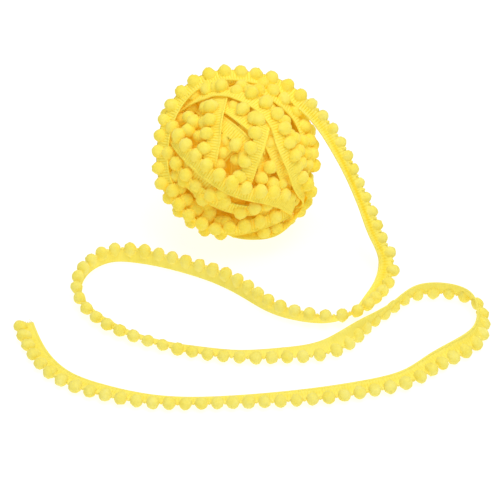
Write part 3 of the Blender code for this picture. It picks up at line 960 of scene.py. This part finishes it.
def outer_ring(tail_start):
    """The last turn: its pompom edge raised by the given angle, and its start drawn to the loose end's.

    Over the first JOIN millimetres each part of the lie is (1 - w)*own + w*loose end's, w = (1 - s/JOIN)**2.
    """
    rows = np.array(OUTER_RING, float)
    points = rows[:, :3] @ np.stack([SEEN_RIGHT, SEEN_UP, SEEN_NEAR])
    knots = distance_along(points)
    line = smooth_line(np.column_stack([points, rows[:, 3]]), knots, np.arange(0.0, knots[-1], WOUND_STEP))
    middle = line[:, :3]
    ways = unit(middle)
    forward = unit(np.gradient(middle, axis=0))
    beside = unit(-np.cross(ways, forward))
    lean = np.radians(line[:, 3:])
    to_pompom = np.cos(lean) * beside + np.sin(lean) * ways
    face = unit(np.cross(to_pompom, -forward))
    face *= np.sign(np.sum(face * ways, axis=1, keepdims=True))
    share = np.clip(1.0 - distance_along(middle) / JOIN, 0.0, 1.0)[:, None] ** 2
    own = (middle, to_pompom, face)
    joined = [(1.0 - share) * mine + share * theirs for mine, theirs in zip(own, tail_start)]
    return joined[0], unit(joined[1]), unit(joined[2]), distance_along(joined[0])


def add_core(material):
    """The ball's inside, closed at both poles.

    At polar angle t and longitude a its radius is R*(1 + 0.02*sin(9t)*cos(7a) + 0.015*sin(17t + 3a)).
    """
    polar = math.pi * (np.arange(CORE_ROWS) + 0.5) / CORE_ROWS
    angle = math.tau * np.arange(CORE_COLUMNS) / CORE_COLUMNS
    t, a = np.meshgrid(polar, angle, indexing="ij")
    radius = CORE_RADIUS * (1 + 0.02 * np.sin(9 * t) * np.cos(7 * a) + 0.015 * np.sin(17 * t + 3 * a))
    ways = np.stack([np.sin(t) * np.cos(a), np.sin(t) * np.sin(a), np.cos(t)], axis=-1)
    points = radius[..., None] * ways
    points = points.reshape(-1, 3) + BALL_MIDDLE
    quads = turned_grid(CORE_ROWS, CORE_COLUMNS)[:, ::-1]
    around = np.arange(CORE_COLUMNS)
    caps = np.stack([around, (CORE_ROWS - 1) * CORE_COLUMNS + around[::-1]])
    add_piece("ball_inside", points, [quads, caps], material, ["wound_ball"])


def plan_turns():
    """The turns as they are wound: ways, side of the pompoms, least distance, and whether they close."""
    plans = []
    for lon, lat, opening, side, least in INNER_TURNS + BACK_TURNS:
        plans.append((circle_ways(lon, lat, opening, CLOSED_RADIUS), side, least, True))
    for _, first, last, side, places in FRONT_TURNS:
        ways = seen_ways(places, (first + last) / 2)
        plans.append((ways, side, np.linspace(first, last, len(ways)), False))
    return plans


def wind_ball():
    """All turns but the last, and the places and ways of those pompoms that show."""
    heights = Heights()
    turns = []
    pompoms = []
    for plan in plan_turns():
        turn = wind(heights, *plan)
        places, out = set_pompoms(heights, turn)
        turns.append(turn)
        pompoms.append((places, out, np.full(len(places), len(turns) - 1)))
    places, out, numbers = (np.concatenate(part) for part in zip(*pompoms))
    places, radius = press_down(places, numbers, turns)
    shown = radius > heights.tape[heights.numbers(unit(places))] - DEEPEST_POMPOM
    return turns, places[shown], out[shown]


def add_ball(weave, pile, inside, tail_start):
    turns, places, out = wind_ball()
    inner, deep = len(INNER_TURNS), len(INNER_TURNS) + len(BACK_TURNS)
    filled, filled_out = fill_between(places, turns, deep)
    ring = outer_ring([part - BALL_MIDDLE if n == 0 else part for n, part in enumerate(tail_start)])
    at = (np.arange(int(ring[3][-1] / POMPOM_PITCH)) + 0.5) * POMPOM_PITCH
    ring_places, ring_out = pompom_place(read_lie(ring, at), np.full(len(at), RING_CURL), RING_POMPOM_OUT)
    places = np.concatenate([places, filled, ring_places]) + BALL_MIDDLE
    out = np.concatenate([out, filled_out, ring_out])
    half = (inner + deep) // 2
    deepest = [plain_tape(turn) for turn in turns[:inner]]
    back_low = [ribbed_tape(turn, WOUND_CURL) for turn in turns[inner:half]]
    back_high = [ribbed_tape(turn, WOUND_CURL) for turn in turns[half:deep]]
    front = [ribbed_tape(turn, WOUND_CURL) for turn in turns[deep:]] + [ribbed_tape(ring, RING_CURL)]
    named = {"inner": deepest, "back_low": back_low, "back_high": back_high, "front": front}
    for part, lies in named.items():
        add_tapes(f"ball_tape_{part}", lies, ["wound_ball"], weave)
    chance = np.random.default_rng(3)
    radii = WOUND_POMPOM_RADIUS * chance.uniform(0.95, 1.05, len(places))
    add_pompoms("ball_pompoms", places, out, radii, WOUND_POMPOM_DRAWN, ["wound_ball"], pile, 5)
    add_core(inside)


# The loose end: x, y, lift above its resting height, and roll (0 pompoms to the right of the way along,
# 90 down, 180 left, 270 up), the same route as the solids follow
TAIL_ROUTE = (
    (30.5, 4.5, 64.9, 214),
    (37.0, 1.5, 59.6, 204),
    (44.5, -5.0, 51.2, 195),
    (50.4, -12.5, 42.2, 184),
    (55.6, -18.4, 32.2, 177),
    (60.8, -26.1, 22.2, 173),
    (66.0, -34.8, 12.6, 179),
    (70.6, -42.0, 4.0, 186),
    (69.0, -49.5, 0.3, 194),
    (65.4, -57.6, 0.0, 202),
    (60.6, -67.4, 0.0, 216),
    (54.7, -76.2, 0.0, 231),
    (45.2, -81.0, 0.0, 243),
    (30.9, -79.6, 0.0, 254),
    (18.0, -73.7, 0.0, 264),
    (-0.7, -56.1, 0.0, 285),
    (-27.5, -40.0, 0.0, 271),
    (-49.0, -32.5, 0.0, 280),
    (-60.9, -32.3, 0.0, 274),
    (-70.7, -40.2, 0.0, 266),
    (-75.4, -55.0, 0.0, 284),
    (-70.8, -70.1, 0.0, 314),
    (-61.4, -81.1, 0.0, 328),
    (-43.5, -93.5, 0.0, 331),
    (-21.3, -101.1, 0.0, 342),
    (0.9, -105.6, 0.0, 349),
    (22.0, -105.4, 0.0, 360),
    (43.7, -102.0, 0.0, 390),
    (59.4, -90.0, 0.0, 450),
    (74.9, -74.5, 0.0, 472),
    (85.1, -64.2, 0.0, 466),
    (98.9, -62.3, 0.0, 464),
    (110.9, -68.1, 0.0, 473),
    (114.3, -79.5, 0.0, 478),
    (111.2, -96.3, 0.0, 484),
    (92.4, -111.4, 0.0, 520),
    (79.1, -123.2, 0.0, 527),
    (60.3, -130.3, 0.0, 534),
    (39.0, -135.3, 0.0, 536),
    (-4.0, -138.7, 0.0, 556),
    (-37.1, -138.7, 0.0, 552),
    (-61.9, -132.2, 0.0, 543),
    (-77.8, -123.2, 0.0, 543),
    (-89.0, -109.0, 0.0, 545),
    (-98.6, -82.2, 0.0, 556),
)
TAPE_THICK = 1.0
TAIL_POMPOMS = 110
TAIL_STRETCHES = 10
POMPOM_SUNK = 1.9  # how far behind the tape its pompoms are, where it hangs
SUNK_LENGTH = 105.0
STITCH_OUT = 4.7
STITCH_RADIUS = 0.85
CURL_LAID = 0.07  # across the tape, where it lies, and how much more where it hangs
CURL_HUNG = 0.14
HUNG_LENGTH = 90.0
RIBS_LAID = 0.4  # how strongly the ribs show where the tape lies; they are at full strength at its start
RIBS_LENGTH = 14.0
FOLD_SHADE_LEAST = 0.12  # painted shade: how much deeper the colour is painted along the tape's middle everywhere
FOLD_SHADES = ((50.0, 45.0, 0.42), (220.0, 50.0, 0.15))  # where that painted shade is deeper: place, reach and strength
FRAYED_THREADS = 26
FRAYED_BEFORE = 1.2  # how far before the cut end the threads start
FRAYED_LENGTHS = (1.8, 3.0)
FRAYED_LONGEST = 4.6
FRAYED_APART = 0.12  # how unevenly they stand, bend aside and rise
FRAYED_ASIDE = 0.7
FRAYED_RISE = 0.25
THREAD_RADIUS = 0.17
THREAD_ROWS = 6
THREAD_SIDES = 3


def rest_height(roll):
    """The middle line's height at which the tape or its pompoms just touch the floor."""
    pompom_rise = -np.sin(roll)
    tape_down = TAPE_HALF * np.abs(pompom_rise) + TAPE_THICK / 2 * np.abs(np.cos(roll))
    return np.maximum(tape_down, POMPOM_RADIUS - POMPOM_OUT * pompom_rise)


def tail_line():
    """The tail's middle line, its roll, and the distances along it."""
    rows = np.array(TAIL_ROUTE)
    knots = distance_along(rows[:, :3])
    line = smooth_line(rows, knots, np.linspace(0.0, knots[-1], 1600))
    roll = np.radians(line[:, 3])
    middle = np.stack([line[:, 0], line[:, 1], np.maximum(line[:, 2], 0.0) + rest_height(roll)], axis=1)
    return middle, roll, distance_along(middle)


def tail_lie(line, places):
    """The tail's middle, way to the pompoms and face way at distances along it."""
    middle, roll, along = line
    forward = unit(read_along(middle, along, places + 1.0) - read_along(middle, along, places - 1.0))
    turned = np.interp(places, along, roll)[:, None]
    right = unit(np.stack([forward[:, 1], -forward[:, 0], np.zeros(len(places))], axis=1))
    upward = np.cross(right, forward)
    to_pompom = np.cos(turned) * right - np.sin(turned) * upward
    return (read_along(middle, along, places), to_pompom, np.cross(forward, to_pompom)), turned[:, 0]


def tail_curl(places, roll):
    """How far the tape's edges curl up, most where it hangs: -cos(roll)*(laid + hung/(1 + (s/length)**4))."""
    return -np.cos(roll) * (CURL_LAID + CURL_HUNG / (1.0 + (places / HUNG_LENGTH) ** 4))


def add_frayed_end(line, material):
    """Cut threads at the tape's end: a three-sided tube each, from the end out and drooping to the floor.

    At share t of its length L a thread has gone L*t along the tape's way, a*t*t to the side and b*sin(3t) up,
    and its radius is R*(1 - t/2).
    """
    length = line[2][-1]
    (here, to_pompom, face), _ = tail_lie(line, np.array([length - FRAYED_BEFORE]))
    forward = np.cross(to_pompom, face)[0]
    forward = forward * np.sign(np.dot(forward, line[0][-1] - line[0][-20]))
    chance = np.random.default_rng(21)
    count = FRAYED_THREADS
    across = np.linspace(-2.3, TAPE_EDGE - 0.5, count) + chance.normal(0, FRAYED_APART, count)
    long = chance.uniform(*FRAYED_LENGTHS, count)
    long[0] = FRAYED_LONGEST
    aside = chance.normal(0, FRAYED_ASIDE, count)
    rise = chance.normal(0.0, FRAYED_RISE, count)
    t = np.linspace(0.0, 1.0, THREAD_ROWS)
    ring = math.tau * np.arange(THREAD_SIDES) / THREAD_SIDES
    radius = THREAD_RADIUS * (1.0 - t / 2)
    along = long[:, None] * t[None, :]
    side = across[:, None] + aside[:, None] * t[None, :] ** 2
    up = 0.05 + rise[:, None] * np.sin(3 * t)[None, :]
    wide = side[..., None] + radius[None, :, None] * np.cos(ring)[None, None, :]
    high = up[..., None] + radius[None, :, None] * np.sin(ring)[None, None, :]
    points = here[0] + along[..., None, None] * forward
    points = points + wide[..., None] * to_pompom[0] + high[..., None] * face[0]
    points[..., 2] = np.maximum(points[..., 2], 0.05)
    size = len(t) * len(ring)
    step = size * np.arange(count)[:, None, None]
    quads = (turned_grid(len(t), len(ring))[None] + step).reshape(-1, 4)
    ends = (np.array([[2, 1, 0], [size - 3, size - 2, size - 1]])[None] + step).reshape(-1, 3)
    corners = np.zeros((quads.size + ends.size, 2))
    corners[:, 1] = 0.1
    points = points.reshape(-1, 3)
    add_piece("tail_end_threads", points, [quads, ends], material, ["tail_tape"], corners)


def add_tail(weave, pile):
    """The loose end: tape, pompoms, stitches and frayed threads. Returns how its tape starts.

    At distance s along, the ribs show by laid + (1 - laid)/(1 + (s/length)**3), the colour along the middle
    is painted deeper, as painted shade, by a bell round each listed place, and the pompoms are sunk by
    most/(1 + (s/length)**6).
    """
    line = tail_line()
    length = line[2][-1]
    places, rise = rib_places(length)
    lie, roll = tail_lie(line, places)
    strength = RIBS_LAID + (1.0 - RIBS_LAID) / (1.0 + (places / RIBS_LENGTH) ** 3)
    fold_shade = np.full(len(places), FOLD_SHADE_LEAST)
    for middle, reach, depth in FOLD_SHADES:
        fold_shade += depth * np.exp(-(((places - middle) / reach) ** 2))
    parts = (lie, places, rise, strength, tail_curl(places, roll), fold_shade)
    tape = add_tapes("tail_tape_woven", [parts], ["tail_tape"], weave)
    pitch = length / TAIL_POMPOMS
    at = (np.arange(TAIL_POMPOMS) + 0.5) * pitch
    lie_at, roll_at = tail_lie(line, at)
    chance = np.random.default_rng(11)
    radii = POMPOM_RADIUS * chance.uniform(0.95, 1.03, TAIL_POMPOMS)
    centres, out = pompom_place(lie_at, tail_curl(at, roll_at), POMPOM_OUT)
    centres -= (POMPOM_SUNK / (1.0 + (at / SUNK_LENGTH) ** 6))[:, None] * lie_at[2]
    stitches_at = np.arange(1, TAIL_POMPOMS) * pitch
    lie_at, roll_at = tail_lie(line, stitches_at)
    stitches, stitches_out = pompom_place(lie_at, tail_curl(stitches_at, roll_at), STITCH_OUT)
    centres = np.concatenate([centres, stitches])
    out = np.concatenate([out, stitches_out])
    radii = np.concatenate([radii, STITCH_RADIUS * chance.uniform(0.8, 1.2, len(stitches))])
    centres[:, 2] = np.maximum(centres[:, 2], radii)
    add_frayed_end(line, weave)
    nodes = [f"tail_pompoms_{n + 1:02d}" for n in range(TAIL_STRETCHES)]
    pompoms = add_pompoms("tail_pompoms_pile", centres, out, radii, POMPOM_DRAWN, nodes, pile, 7)
    return [part[:1] for part in lie]


add_camera()
add_studio()
inside = core_material("inner turns")
# The loose end's materials are painted paler than the wound ball's: painted light on the same trim.
tail_start = add_tail(weave_material("loose woven tape", 0.35), pile_material("loose yellow pile", 0.45))
add_ball(weave_material("wound woven tape", 0.0), pile_material("wound yellow pile", 0.0), inside, tail_start)
